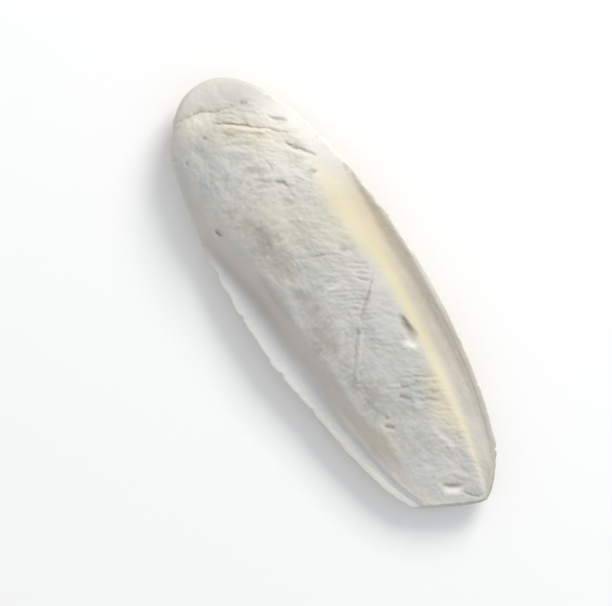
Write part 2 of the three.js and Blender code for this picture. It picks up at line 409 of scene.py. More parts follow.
@dataclass(frozen=True)
class Shield:
    """The hard boat-shaped shield: its underside with a middle rib and growth lines, and its bare wings.

    Its methods take places along the bone as x and across it as y, in mm, and give heights in mm.
    """

    outline: Outline
    touch_x: float = 8.0
    head_rise: float = 7.5
    head_power: float = 2.3
    tail_rise: float = 5.5
    tail_power: float = 2.2
    edge_rise: float = 8.5
    edge_power: float = 2.1
    rest_flat: float = 0.35
    rim: float = 1.5
    thickening: float = 0.1
    rib_groove: Groove = Groove(8.5, 0.03, 2.4, 0.7)
    outer_groove: Groove = Groove(18.0, 0.04, 2.2, 0.35)
    groove_from_rim: Span = (1.0, 7.0)
    groove_from_break: Span = (0.0, 8.0)
    # Growth lines arch towards the head over each rib, climb slowly and drop fast.
    line_spacing: float = 1.6
    line_height: float = 0.11
    line_climb: float = 0.8
    line_arch: float = 0.42
    line_lobe: float = 1.3
    arch_rounding: float = 3.0
    line_wander: Clouds = Clouds(1.6, 22.0, 5.5, 2)
    line_jitter: Clouds = Clouds(0.35, 3.0, 6.5, 2)
    line_strength: float = 0.7
    line_patches: Clouds = Clouds(0.6, 14.0, 7.5, 2)
    line_from_rim: Span = (0.5, 3.0)
    granules: Clouds = Clouds(0.05, 1.6, 9.5, 2)
    dimples: Clouds = Clouds(0.12, 9.0, 10.5)
    # Fine ridges run along the wings; the right wing has them only towards the tail.
    ridge_spacing: float = 1.5
    ridge_wander: Clouds = Clouds(0.3, 20.0, 11.5, 2)
    left_ridge: float = 0.08
    right_ridge: float = 0.07
    right_ridge_x: Span = (0.0, -35.0)
    right_side: Span = (0.0, 5.0)
    ridge_from_rim: Span = (0.6, 1.2)
    ridge_to_loaf: Span = (5.0, 3.5)
    ridge_to_head: Span = (34.0, 18.0)

    def curve(self, x: Field, y: Field) -> Field:
        """Returns the plain underside, curved up towards the ends and edges."""
        ahead, behind = self.outline.gone(x, self.touch_x)
        return (
            self.head_rise * ahead**self.head_power
            + self.tail_rise * behind**self.tail_power
            + self.edge_rise * (np.abs(y) / (self.outline.width / 2)) ** self.edge_power
        )

    def grooves(self, x: Field, y: Field) -> Field:
        """Returns the depth of the long grooves beside the ribs, which fade out at the edges."""
        depth = self.rib_groove.at(x, y) + self.outer_groove.at(x, y)
        return (
            depth
            * ramp(self.outline.grown_distance(x, y), *self.groove_from_rim)
            * ramp(self.outline.break_distance(x, y), *self.groove_from_break)
        )

    def growth_lines(self, x: Field, y: Field) -> Field:
        """Gives the fine growth lines.

        Args:
            x: places along, in mm.
            y: places across, in mm.

        Returns:
            Heights in mm, above and below 0.
        """
        arch = self.line_arch * (np.hypot(y, self.arch_rounding) - self.arch_rounding)
        lobes = self.line_lobe * np.cos(np.abs(y) / self.rib_groove.y * math.pi)
        wander = self.line_wander.at(x, y) + self.line_jitter.at(x, y)
        line = sawtooth((x + arch - lobes + wander) / self.line_spacing, self.line_climb)
        patchy = self.line_strength + self.line_patches.at(x, y)
        fade = ramp(self.outline.grown_distance(x, y), *self.line_from_rim)
        return self.line_height * 2 * line * patchy * fade

    def line_troughs(self, x: Field, y: Field) -> Field:
        """Returns how deep between two growth lines a place is, from 0 to 1."""
        return np.clip(0.5 - self.growth_lines(x, y) / (2 * self.line_height), 0, 1)

    def underside(self, x: Field, y: Field) -> Field:
        """Returns the underside, with its relief and the small flat that the bone rests on."""
        relief = self.grooves(x, y) - self.growth_lines(x, y) - self.granules.at(x, y) - self.dimples.at(x, y)
        return np.maximum(self.curve(x, y) + relief - self.rest_flat, 0)

    def rim_middle(self, x: Field, y: Field) -> Field:
        """Returns the height of the middle of the rim's edge."""
        return self.curve(x, y) - self.rest_flat + self.rim / 2

    def wing_top(self, x: Field, y: Field) -> Field:
        """Returns the height of the shield's upper face, which shows as the wings' gutters."""
        thick = self.rim + self.thickening * self.outline.grown_distance(x, y)
        return self.curve(x, y) - self.rest_flat + thick

    def wing_ridges(self, x: Field, y: Field) -> Field:
        """Gives the fine ridges that run along the wings.

        Args:
            x: places along, in mm.
            y: places across, in mm.

        Returns:
            Heights in mm, above and below 0.
        """
        inward = self.outline.grown_distance(x, y) + self.ridge_wander.at(x, y)
        right = self.right_ridge * ramp(x, *self.right_ridge_x)
        height = mix(self.left_ridge, right, ramp(-y, *self.right_side)) * ramp(x, *self.ridge_to_head)
        fade = ramp(inward, *self.ridge_from_rim) * ramp(inward, *self.ridge_to_loaf)
        return height * fade * np.cos(2 * math.pi * inward / self.ridge_spacing)


@dataclass(frozen=True)
class Chalk:
    """The loaf of chalk: it fills the whole head end and leaves the wings bare behind it.

    Its methods take places along the bone as x and across it as y, in mm.
    """

    outline: Outline
    shield: Shield
    height: float = 18.4
    crown_x: float = 26.0
    crown_at_head: float = 9.5
    head_power: float = 2.7
    head_roundness: float = 0.52
    crown_at_tail: float = 8.2
    tail_power: float = 1.45
    foot_share: float = 0.76
    full_foot: Span = (5.0, 50.0)
    section_power: float = 3.4
    head_section_roundness: float = 0.5
    outside_fall: float = 2.0
    fillet: float = 6.0
    # A low shoulder runs along each flank behind the head.
    shoulder: float = 0.8
    shoulder_share: float = 0.54
    shoulder_width: float = 2.8
    shoulder_head: Span = (30.0, 8.0)
    shoulder_tail: Span = (-72.0, -30.0)
    # Broad uneven swells: the lengths of two crossing waves, and how each of them slants.
    swell: float = 0.28
    swell_length: float = 21.99
    swell_slant_width: float = 56.55
    swell_width: float = 18.85
    swell_slant_length: float = 87.96
    swell_from_rim: Span = (3.0, 12.0)

    def foot(self, x: Field, y: Field | float) -> Field:
        """Returns the distance from the midline to the chalk's foot on the side where y lies."""
        share = mix(self.foot_share, 1, ramp(x, *self.full_foot))
        return np.maximum(self.outline.grown_reach(x, y) * share, LEAST_WIDTH)

    def crown(self, x: Field) -> Field:
        """Gives the height of the crown along the middle of the bone.

        Args:
            x: places along, in mm.

        Returns:
            Heights in mm.
        """
        ahead, behind = self.outline.gone(x, self.crown_x)
        head = mix(self.crown_at_head, self.height, (1 - ahead**self.head_power) ** self.head_roundness)
        tail = mix(self.height, self.crown_at_tail, behind**self.tail_power)
        return np.where(x > self.crown_x, head, tail)

    def shoulders(self, x: Field, y: Field) -> Field:
        """Returns the height of the low shoulders along the flanks, in mm."""
        shape = bell(np.abs(y) - self.shoulder_share * self.outline.half_width(x), self.shoulder_width)
        return self.shoulder * shape * ramp(x, *self.shoulder_head) * ramp(x, *self.shoulder_tail)

    def top(self, x: Field, y: Field) -> Field:
        """Gives the plain upper face of the chalk.

        Args:
            x: places along, in mm.
            y: places across, in mm.

        Returns:
            Heights in mm, falling away outside the foot.
        """
        foot = self.foot(x, y)
        across = np.abs(y) / foot
        roundness = mix(1, self.head_section_roundness, ramp(x, *self.full_foot))
        rise = np.maximum(1 - across**self.section_power, 0) ** roundness
        base = self.shield.wing_top(x, np.clip(y, -foot, foot))
        fall = self.outside_fall * np.maximum(across - 1, 0) * foot
        return mix(base, self.crown(x), rise) + self.shoulders(x, y) - fall

    def swells(self, x: Field, y: Field) -> Field:
        """Gives the broad uneven swells, which fade out at the rim.

        Args:
            x: places along, in mm.
            y: places across, in mm.

        Returns:
            Heights in mm, above and below 0.
        """
        along = np.sin(2 * math.pi * (x / self.swell_length + y / self.swell_slant_width))
        across = np.cos(2 * math.pi * (y / self.swell_width - x / self.swell_slant_length))
        return self.swell * along * across * ramp(self.outline.grown_distance(x, y), *self.swell_from_rim)

    def joined(self, x: Field, y: Field) -> Field:
        """Gives the upper side: chalk and wings joined by a fillet, with the swells.

        Args:
            x: places along, in mm.
            y: places across, in mm.

        Returns:
            Heights in mm.
        """
        chalk, wing = self.top(x, y), self.shield.wing_top(x, y)
        overlap = np.maximum(self.fillet - np.abs(chalk - wing), 0) / self.fillet
        return np.maximum(chalk, wing) + overlap * overlap * self.fillet / 4 + self.swells(x, y)


@dataclass(frozen=True)
class Mark:
    """A crack, pit, scratch, lump, stain or painted highlight that follows its route over the chalk.

    Attributes:
        name: what it is.
        route: the places that it passes.
        width: how far it reaches to each side, in mm.
        depth: how deep it is, in mm. A negative depth is a raised lump.
        sharp: the power of its flanks: 1 is a V and 2 a round hollow.
        tint: how strongly it colours the chalk, from 0 to 1; in a crack or pit that is painted shade with
            brown grime.
        end_depth: the share of its depth that is left at the ends of a long route.
    """

    name: str
    route: Sequence[Place]
    width: float
    depth: float = 0.0
    sharp: float = 2.0
    tint: float = 0.0
    end_depth: float = 0.3

    def shape(self, x: Field, y: Field) -> Field:
        """Gives how much of the mark's depth is reached.

        Args:
            x: places along, in mm.
            y: places across, in mm.

        Returns:
            1 in the mark's middle line, and 0 away from it.
        """
        nearest = np.full(np.shape(x), np.inf)
        along = np.zeros(np.shape(x))
        runs = len(self.route) - 1
        for index, (start, end) in enumerate(zip(self.route, self.route[1:])):
            run = np.subtract(end, start)
            dot = ((x - start[0]) * run[0] + (y - start[1]) * run[1]) / (run @ run)
            share = np.clip(dot, 0, 1)
            distance = np.hypot(x - start[0] - share * run[0], y - start[1] - share * run[1])
            along = np.where(distance < nearest, (index + share) / runs, along)
            nearest = np.minimum(distance, nearest)
        fade = mix(self.end_depth, 1, np.sqrt(np.sin(math.pi * along))) if runs > 1 else 1.0
        return fade * np.exp(-((nearest / self.width) ** self.sharp))


MARKS = (
    Mark(
        "lip fissure", [(69.7, 11.5), (69, 6.9), (68.5, 3.8), (65.8, -0.6), (65, -3.3), (64, -5.6)],
        0.5, 0.55, 1.3, 0.7,
    ),
    Mark("end zone's fold", [(73.3, -5.5), (70.2, -4.7), (65.8, -5.1)], 1.0, 0.22),
    Mark("head pit", [(64, -8.4), (63.3, -9.7)], 0.7, 0.35, 2.0, 0.3),
    Mark("short line", [(64, -1.5), (63, -4.1)], 0.4, 0.3, 1.3, 0.3),
    Mark(
        "long fissure", [(62.8, 1.7), (60.1, -2.3), (57.5, -5.5), (53, -10.8), (48.6, -15.3)],
        0.34, 0.7, 1.4, 0.75,
    ),
    Mark("long fissure's start", [(63.2, 2.4), (60.8, -1.4), (58.2, -4.7)], 0.32, 0.4, 1.4, 0.6),
    Mark("long fissure's ledge", [(61.4, 1.8), (58.8, -2.2), (56, -5.8), (52.4, -10)], 1.1, -0.34),
    Mark("second line", [(59.6, 1.6), (57.2, -1.6), (53, -7.2)], 0.32, 0.15, 1.3, 0.1),
    Mark("short crack", [(56.9, -12.5), (54.2, -14.4), (52.4, -16.5)], 0.55, 0.7, 1.4, 0.6),
    Mark("side fissure", [(46.9, -12.6), (44.1, -14.1), (41.7, -16.3), (38.7, -18.4)], 0.38, 0.8, 1.4, 0.75),
    Mark("side fissure's lip", [(46, -12), (42.5, -13.5), (40, -15.8)], 1.3, -0.35),
    Mark("flaked edge", [(38.4, -3.7), (37, -5.7), (35.2, -6.2)], 0.45, 0.5, 1.4, 0.6),
    Mark("flaked edge's end", [(35.7, -6.5), (34.1, -5.8), (31.1, -5.9)], 0.5, 0.22, 1.4, 0.2),
    Mark("flaked edge's pit", [(37.9, -4.6), (36.9, -5.9)], 0.6, 0.3, 2.0, 0.3),
    Mark("upper flake", [(45.8, -4.8), (43, -5.4), (41.6, -5)], 0.45, 0.4, 1.4, 0.5),
    Mark(
        "peeled zone's edge", [(38.2, -17.1), (35.1, -14.3), (32.2, -12.4), (29.1, -9.1)],
        0.7, 0.22, 1.6, 0.1,
    ),
    Mark("edge pit", [(35.2, -14.7), (34.5, -15.5)], 0.5, 0.4, 2.0, 0.5),
    Mark("left notch", [(36.4, 19.1), (35, 18.7), (33.8, 18.4)], 0.55, 0.8, 1.8, 0.8),
    Mark("first wrinkle", [(59.6, 1.8), (57.9, 0), (55.6, -1.8)], 0.5, 0.28, 1.4, 0.2),
    Mark("second wrinkle", [(56.1, 4.5), (54.9, 0.3), (51.7, -3.4)], 0.5, 0.3, 1.4, 0.2),
    Mark("third wrinkle", [(46.3, 2.2), (44.7, 0.4), (43.7, -3)], 0.4, 0.2, 1.4, 0.1),
    Mark("fourth wrinkle", [(43.7, 1.9), (41, 0), (39.1, -2.9)], 0.4, 0.24, 1.4, 0.15),
    Mark("first spot", [(57.8, 15.3), (57.2, 15.1)], 0.6, 0.3, 2.0, 0.5),
    Mark("second spot", [(61.4, 6.8), (60.8, 6.4)], 0.6, 0.3, 2.0, 0.5),
    Mark(
        "cross crease", [(16.4, 4.6), (14.8, 1.3), (12.7, -3.1), (10.4, -7.3), (8.2, -10.4)],
        0.36, 0.34, 1.4, 0.3,
    ),
    Mark("cross crease's lip", [(11.5, -6.8), (9.4, -9.2), (7.9, -11)], 0.8, -0.4),
    Mark("crease's pit", [(11, -9), (10.2, -10)], 0.9, 0.35, 2.0, 0.4),
    Mark("first rung", [(7.5, -7.9), (5.2, -11), (3, -13.6)], 0.45, 0.28, 1.5, 0.2),
    Mark("second rung", [(4.6, -8.8), (1.8, -12.8)], 0.45, 0.4, 1.5, 0.3),
    Mark("third rung", [(2.7, -9), (0.5, -12)], 0.45, 0.4, 1.5, 0.3),
    Mark("fourth rung", [(1, -8.7), (-1.1, -11)], 0.45, 0.45, 1.5, 0.3),
    Mark("upper scratch", [(1.2, -14.6), (-3.5, -10.2), (-6.4, -6.6), (-9.7, -2.8)], 0.36, 0.3, 1.5, 0.3),
    Mark("upper scratch's end", [(-1.8, -12), (-6.4, -6.6), (-9.8, -2.7)], 0.5, 0.25, 1.5, 0.35),
    Mark("lower scratch", [(-10.9, -0.8), (-13.2, 0.7), (-16.3, 3.5), (-19.6, 6)], 0.4, 0.34, 1.5, 0.35),
    Mark("lower scratch's end", [(-18.6, 5.3), (-23.3, 8.7), (-26.3, 12.4)], 0.35, 0.16, 1.5, 0.08),
    Mark("lower scratch's lip", [(-12.9, -1.1), (-15.4, 1), (-18.6, 3.7), (-24.2, 8.4)], 0.55, -0.3, 1.5),
    Mark("slant ridge", [(2.8, 3.7), (2.6, 0), (1.8, -3.4)], 0.7, -0.3),
    Mark("slant hollow", [(5, -3), (4.6, 0.8), (3.6, 3.9)], 0.8, 0.25),
    Mark("gouge", [(-15.8, -13.4), (-18.9, -13.2), (-23.1, -13.5)], 1.1, 1.5, 2.0, 0.75),
    Mark("gouge's heap", [(-23.6, -10.2), (-25.2, -11.1)], 1.4, -0.8),
    Mark("first tail pit", [(-33.4, -1.9), (-34.3, -3.4)], 0.6, 0.4, 1.8, 0.5),
    Mark("second tail pit", [(-35.7, 0), (-37.8, -2.3)], 0.6, 0.4, 1.8, 0.4),
    Mark("third tail pit", [(-41, 8.4), (-42, 7)], 0.7, 0.5, 1.8, 0.6),
    Mark("fourth tail pit", [(-38.6, 6.9), (-39.2, 6.3)], 0.6, 0.3, 1.8, 0.4),
    Mark("first crest wrinkle", [(-32.3, -6.3), (-34.8, -9.6), (-36.8, -13.2)], 0.5, 0.32, 1.6, 0.12),
    Mark("second crest wrinkle", [(-34.3, -5.1), (-36.4, -8.8), (-38.6, -12)], 0.55, 0.42, 1.6, 0.15),
    Mark("third crest wrinkle", [(-36.8, -3.8), (-39.3, -7.2), (-41, -10.8)], 0.55, 0.45, 1.6, 0.15),
    Mark("fourth crest wrinkle", [(-38.8, -3.6), (-41, -6.6), (-43, -9.2)], 0.55, 0.4, 1.6, 0.12),
    Mark("tail lump", [(-40.6, -2.7), (-41.6, -3.3)], 1.0, -0.35),
    Mark("tail ridge", [(-49.2, -2.3), (-51.7, -3.5), (-54.1, -4), (-58, -4.6)], 0.9, -0.35),
    Mark("tail notch", [(-65.2, 3.9), (-66.5, 1.8), (-68.1, -0.2)], 0.6, 0.75, 1.8, 0.4),
    Mark("tail notch's heap", [(-67.2, 4.3), (-69.2, 1.3)], 1.1, -0.5),
    Mark("tail step", [(-69.7, 0), (-71.6, -1.2), (-73.2, -3), (-74.3, -5.6)], 0.55, 0.45, 1.5, 0.2),
    # The long hollow and the patch along it are darkened: painted shade in the hollow.
    Mark(
        "long hollow", [(40, 12.5), (28, 10.5), (14, 8.5), (4, 9), (-16, 9), (-36, 7)],
        4.2, 0.42, 2.0, 0.12,
    ),
    Mark("long hollow's shade patch", [(36, 9.5), (29, 8.5), (22, 8), (12, 6.5)], 4.8, 0.12, 2.0, 0.27),
    Mark("fissure stain", [(56, -9), (49, -14), (42, -17)], 2.6, tint=0.3),
    Mark("ledge stain", [(62.4, 0.4), (57, -6.2), (52, -11.5)], 1.3, tint=0.14),
    Mark("bright lip", [(57.5, -3.5), (52.5, -9.4)], 1.5, -0.25),
    Mark("tail stain", [(-33, -8), (-40, -7), (-47, -4)], 4.0, tint=0.2),
)

STRAW_STAINS = (
    Mark("head's straw", [(66, 14), (65, 4), (58, -3), (50, -9), (41, -14)], 6.0, tint=0.42),
    Mark("shoulder's straw", [(36, 6), (28, 1), (22, -7), (10, -10)], 9.0, tint=0.26),
    Mark("tail crest's straw", [(-34, -12), (-42, -9.5), (-54, -8.5)], 3.6, tint=0.62),
    Mark("tail flank's straw", [(-34, 15), (-42, 12.5), (-50, 11.5)], 2.8, tint=0.3),
)

# Painted highlights: pale patches where the chalk faces the light or stands up.
PAINTED_HIGHLIGHTS = (
    Mark("end's highlight", [(72, 10), (73.5, 4), (74, 0), (73, -5)], 4.0, tint=0.42),
    Mark("lip's highlight", [(67, 11), (66, 4), (64, 0.5)], 3.2, tint=0.85),
    Mark("ledge's highlight", [(61, 1.5), (57.5, -4), (52.5, -10)], 2.8, tint=0.65),
    Mark("tail wing's highlight", [(-52, -16.5), (-60, -13), (-67, -9.5)], 2.6, tint=0.2),
    Mark("heap's highlight", [(-67.4, 4.2), (-69, 1.6)], 1.3, tint=0.9),
)


@dataclass(frozen=True)
class Wear:
    """What broke, peeled and weathered the chalk, on top of its plain form.

    Its methods take places along the bone as x and across it as y, in mm. A span named a height or a depth
    holds it for the tail's half and for the head's.
    """

    outline: Outline
    marks: Sequence[Mark] = MARKS
    # The chalk's layers cross the bone in arches, steeper right of the arches' top than left of it.
    arch_y: float = 4.0
    arch_slopes: Span = (0.72, 0.25)
    arch_sides: Span = (-4.0, 4.0)
    arch_bend: float = 5.0
    # The top is peeled and crumbled between the smooth flanks, behind the smooth end. It reaches over two
    # shares of the half width, one on the tail's half and one on the head's.
    worn_shares: Span = (0.55, 0.8)
    worn_widening: Span = (25.0, 50.0)
    worn_edge: Clouds = Clouds(0.06, 8.0, 1.5, 2)
    worn_fade: Span = (-0.16, 0.1)
    smooth_flank: float = 0.85
    smooth_end: Span = (71.0, 69.5)
    end_edge: Clouds = Clouds(1.0, 6.0, 2.5, 2)
    worn_from_break: Span = (1.0, 6.0)
    wander_x: Clouds = Clouds(0.32, 1.7, 12.5)
    wander_y: Clouds = Clouds(0.32, 1.7, 13.5)
    tint_blots: Clouds = Clouds(0.5, 6.0, 28.5)
    # Crumbs lie along the rims, more of them where the right one has frayed.
    rim_crumbs: Clouds = Clouds(0.42, 1.8, 25.5)
    rim_crumb_level: float = 0.042
    rim_crumb_inward: float = 0.8
    rim_crumb_width: float = 1.0
    left_crumbs: float = 0.6
    left_crumb_tail: Span = (-64.0, -50.0)
    left_crumb_head: Span = (32.0, 20.0)
    head_half: Span = (5.0, 24.0)
    scale_height: Span = (0.099, 0.22)
    scale_spacing: float = 5.6
    scale_climb: float = 0.75
    scale_wander: Clouds = Clouds(2.6, 9.0, 14.5)
    scale_patches: Clouds = Clouds(1.0, 13.0, 15.5, 2)
    scale_patch_edge: Span = (-0.35, 0.35)
    line_height: Span = (0.1, 0.045)
    line_spacing: float = 1.7
    line_wander: Clouds = Clouds(0.9, 5.0, 16.5)
    line_patches: Clouds = Clouds(1.0, 6.0, 17.5, 2)
    line_patch_edge: Span = (-0.2, 0.5)
    crumb_height: Span = (0.209, 0.22)
    crumbs: Clouds = Clouds(1.0, 2.8, 18.5, 4)
    crumb_squeeze: float = 1.15
    lump_height: Span = (0.336, 0.42)
    lumps: Clouds = Clouds(1.0, 8.0, 22.5)
    crease_depth: Span = (0.05, 0.1)
    creases: Clouds = Clouds(1.0, 5.0, 21.5, 2)
    crease_squeeze: float = 1.3
    crease_width: float = 0.08
    fine_crumbs: Clouds = Clouds(0.06, 1.3, 19.5, 2)
    # The smooth flanks only undulate and are rubbed lengthwise.
    flank_waves: Clouds = Clouds(0.16, 8.0, 20.5, 4)
    flank_rubs: Clouds = Clouds(0.07, 2.2, 29.5, 2)
    rub_stretch: float = 7.0

    def along_layers(self, x: Field, y: Field) -> Field:
        """Returns the x at which each place's arched layer crosses the arch's top."""
        slope = mix(*self.arch_slopes, ramp(y - self.arch_y, *self.arch_sides))
        return x + slope * (np.hypot(y - self.arch_y, self.arch_bend) - self.arch_bend)

    def worn_zone(self, x: Field, y: Field) -> Field:
        """Gives where the top is peeled and crumbled.

        Args:
            x: places along, in mm.
            y: places across, in mm.

        Returns:
            Shares from 0 to 1.
        """
        share = np.abs(y) / np.maximum(self.outline.half_width(x), LEAST_WIDTH)
        edge = mix(*self.worn_shares, ramp(x, *self.worn_widening)) + self.worn_edge.at(x, y)
        flank = 1 - self.smooth_flank * ramp(share - edge, *self.worn_fade)
        end = ramp(self.along_layers(x, y) + self.end_edge.at(x, y), *self.smooth_end)
        return flank * end * ramp(self.outline.break_distance(x, y), *self.worn_from_break)

    def depth(self, x: Field, y: Field) -> tuple[Field, Field]:
        """Gives what the marks take off the chalk, and how strongly they tint it.

        Args:
            x: places along, in mm.
            y: places across, in mm.

        Returns:
            Depths in mm, and tint shares from 0 to 1, which are painted shade with brown grime in the cracks
            and pits.
        """
        wandering = x + self.wander_x.at(x, y), y + self.wander_y.at(x, y)
        depth = np.zeros(np.shape(x))
        tint = np.zeros(np.shape(x))
        for mark in self.marks:
            shape = mark.shape(*wandering)
            depth += mark.depth * shape
            tint = np.maximum(tint, mark.tint * shape**2)
        return depth, tint

    def tinted(self, tint_marks: Sequence[Mark], x: Field, y: Field) -> Field:
        """Returns how strongly a set of marks colours the chalk, as straw stain or as painted highlight."""
        shares = [stain.tint * stain.shape(x, y) for stain in tint_marks]
        return (1 + self.tint_blots.at(x, y)) * np.maximum.reduce(shares)

    def crumbled_rims(self, x: Field, y: Field) -> Field:
        """Gives the crumbs along the rims.

        Args:
            x: places along, in mm.
            y: places across, in mm.

        Returns:
            Heights in mm.
        """
        crumbs = np.maximum(self.rim_crumbs.at(x, y) + self.rim_crumb_level, 0)
        near = bell(self.outline.grown_distance(x, y) - self.rim_crumb_inward, self.rim_crumb_width)
        left = self.left_crumbs * ramp(x, *self.left_crumb_tail) * ramp(x, *self.left_crumb_head)
        return crumbs * near * np.where(y < 0, self.outline.frayed(x), left)

    def scales(self, x: Field, y: Field) -> Field:
        """Returns the peeled scales, from -0.5 to 0.5, which lie in patches."""
        phase = (self.along_layers(x, y) + self.scale_wander.at(x, y)) / self.scale_spacing
        return sawtooth(phase, self.scale_climb) * ramp(self.scale_patches.at(x, y), *self.scale_patch_edge)

    def layer_lines(self, x: Field, y: Field) -> Field:
        """Returns the fine layer lines, from -1 to 1, which show in patches."""
        phase = (self.along_layers(x, y) + self.line_wander.at(x, y)) / self.line_spacing
        return np.cos(2 * math.pi * phase) * ramp(self.line_patches.at(x, y), *self.line_patch_edge)

    def relief(self, x: Field, y: Field) -> Field:
        """Gives the peeled scales, crumbs and fine layer lines of the worn zone, and the flanks' undulation.

        Args:
            x: places along, in mm.
            y: places across, in mm.

        Returns:
            Heights in mm, above and below 0.
        """
        layers = self.along_layers(x, y)
        head = ramp(x, *self.head_half)
        worn = self.worn_zone(x, y)
        crease_line = self.creases.at(layers * self.crease_squeeze, y)
        peeled = (
            mix(*self.scale_height, head) * self.scales(x, y)
            + mix(*self.line_height, head) * self.layer_lines(x, y)
            + mix(*self.crumb_height, head) * self.crumbs.at(layers * self.crumb_squeeze, y)
            + mix(*self.lump_height, head) * self.lumps.at(x, y)
            - mix(*self.crease_depth, head) * bell(crease_line, self.crease_width)
            + self.fine_crumbs.at(x, y)
        )
        smooth = self.flank_waves.at(x, y) + self.flank_rubs.at(x / self.rub_stretch, y)
        return mix(smooth, peeled, worn)


@dataclass(frozen=True)
class Ramp:
    """A limit that goes from one share to another as a measure of the skin goes from start to end."""

    measure: str
    start: float
    end: float
    first: float = 0.0
    last: float = 1.0

    def share(self, measures: dict[str, Field]) -> Field:
        """Returns the share at every point of the skin."""
        return mix(self.first, self.last, ramp(measures[self.measure], self.start, self.end))


@dataclass(frozen=True)
class Band:
    """A limit of 1 where a measure of the skin is at the middle, falling off to both sides by the width."""

    measure: str
    middle: float
    width: float

    def share(self, measures: dict[str, Field]) -> Field:
        """Returns the share at every point of the skin."""
        return bell(measures[self.measure] - self.middle, self.width)


@dataclass(frozen=True)
class Zone:
    """A part of the skin that takes on a tone: it is where all its limits hold at once.

    Attributes:
        limits: the ramps and bands that bound it.
        side: the only side that it is on, if there is one.
        strength: how strongly it is toned at most.
        pattern: the measure that it is multiplied by.
    """

    limits: Sequence[Ramp | Band] = ()
    side: Side | None = None
    strength: float = 1.0
    pattern: str = "even"

    def share(self, measures: dict[str, Field]) -> Field:
        """Gives how strongly the zone is toned.

        Args:
            measures: what Skin.measures gives.

        Returns:
            Shares for every point of the skin.
        """
        share = self.strength * measures[self.pattern]
        for limit in self.limits:
            share = share * limit.share(measures)
        return share if self.side is None else share * (measures["y"] * self.side.value > 0)


# Where several zones share a name, the strongest of them counts.
ZONES: dict[str, Sequence[Zone]] = {
    "left_wing": [Zone([Ramp("past_foot", -2, 1.5), Ramp("x", 42, 22)], Side.LEFT)],
    # The right wing's tone weakens in two steps towards the tail.
    "right_wing": [
        Zone(
            [
                Ramp("past_foot", -3.8, 0),
                Ramp("x", 42, 22),
                Ramp("x", 12, -14, 1, 0.7),
                Ramp("x", -22, -50, 1, 3 / 7),
            ],
            Side.RIGHT,
        )
    ],
    "tail_wing": [Zone([Ramp("past_foot", -1, 1.5), Ramp("x", -12, -34), Ramp("x", -74, -60)], Side.LEFT)],
    # Painted shade colour: a warm tint over the left flank, which turns away from the light, smudged in
    # streaks.
    "left_flank": [
        Zone([Ramp("across", 0.05, 0.5), Ramp("to_foot", 0.6, 0.85), Ramp("x", 55, 30)], pattern="smudges")
    ],
    "crest": [Zone([Band("crest_widths", 0, 1), Ramp("x", -76, -60), Ramp("x", 46, 30)])],
    # Painted shade along the foot of the loaf on both sides, and grubby streaks on the left flank.
    "painted_shade_and_streaks": [
        Zone([Band("past_foot", 0.4, 2.4), Ramp("x", 6, -12)], Side.RIGHT),
        Zone([Band("past_foot", -0.6, 1.8), Ramp("x", -14, 14), Ramp("x", 42, 30)], Side.LEFT),
        Zone([Band("across", 0.6, 0.22), Ramp("x", 40, 20), Ramp("x", -70, -50)], None, 2.2, "streaks"),
    ],
    # Painted highlights on raised places, at the listed places, over the head's right, along the tail's crest
    # and along the right rim where it crumbles; the tail's left is made lighter.
    "painted_highlights_and_pale_tail": [
        Zone(pattern="raised"),
        Zone(pattern="listed_highlights"),
        Zone([Ramp("x", 20, 50), Ramp("x", 68, 52), Ramp("across", 0.5, -0.5)], strength=0.85),
        Zone([Band("from_crest", 0, 0.06), Ramp("x", -25, -45)], strength=0.4),
        Zone([Ramp("x", -44, -60), Ramp("y", 1, 7)], strength=0.36),
        Zone([Band("from_rim", 0.4, 0.9)], Side.RIGHT, pattern="frayed"),
        Zone([Band("from_rim", 0.9, 0.7), Ramp("x", -30, -16), Ramp("x", 60, 40)], Side.RIGHT, 0.9),
    ],
    "straw": [Zone(pattern="straw")],
    # Painted shade with brown grime in the marks' cracks, pits and notches, and darker patches beside some of
    # them.
    "tint": [Zone(pattern="tint")],
    # Painted shade in the chalk's hollows and in the troughs between the shield's growth lines.
    "hollow": [Zone(pattern="hollow")],
    "rim": [Zone([Ramp("inward", 2.6, 0.2)])],
    "horn": [Zone([Ramp("horn_inward", 2.4, 0.2), Ramp("from_break", 2.0, 2.0001)])],
    "broken": [Zone([Band("from_break", 0, 1.4)])],
}


@dataclass(frozen=True)
class SkinNet:
    """How finely the closed skin is meshed, and how its points are shared out.

    Attributes:
        rings: rings from the head end to the tail tip.
        points: points round each ring.
        chalk_points: how many of those lie on the chalk side.
        end_crowding: the share of the rings in each crowded end.
        edge_crowding: the share of the underside's points in each crowded edge.
        foot_at: where across the chalk side, from 0 to 1, the points follow the foot.
        foot_limits: the shares of the half width between which the foot is followed.
    """

    rings: int = 404
    points: int = 244
    chalk_points: int = 172
    end_crowding: float = 0.06
    edge_crowding: float = 0.08
    foot_at: float = 0.8
    foot_limits: Span = (0.6, 0.93)

    def sphere(self) -> bmesh.types.BMesh:
        """Makes the unit sphere whose rings become the bone's sections, and its poles the ends.

        Returns:
            A new bmesh.
        """
        net = bmesh.new()
        bmesh.ops.create_uvsphere(net, u_segments=self.points, v_segments=self.rings, radius=1.0)
        return net

    def places(self, vertex: bmesh.types.BMVert) -> tuple[int, int]:
        """Gives a sphere vertex's ring and its place round the ring.

        Args:
            vertex: a vertex of the unit sphere.

        Returns:
            The ring's number from the head end, and the point's number from the left edge.
        """
        x, y, z = vertex.co
        ring = round(math.atan2(math.hypot(x, y), z) / math.pi * self.rings)
        point = round(math.atan2(y, x) / (2 * math.pi) * self.points) % self.points
        return ring, point


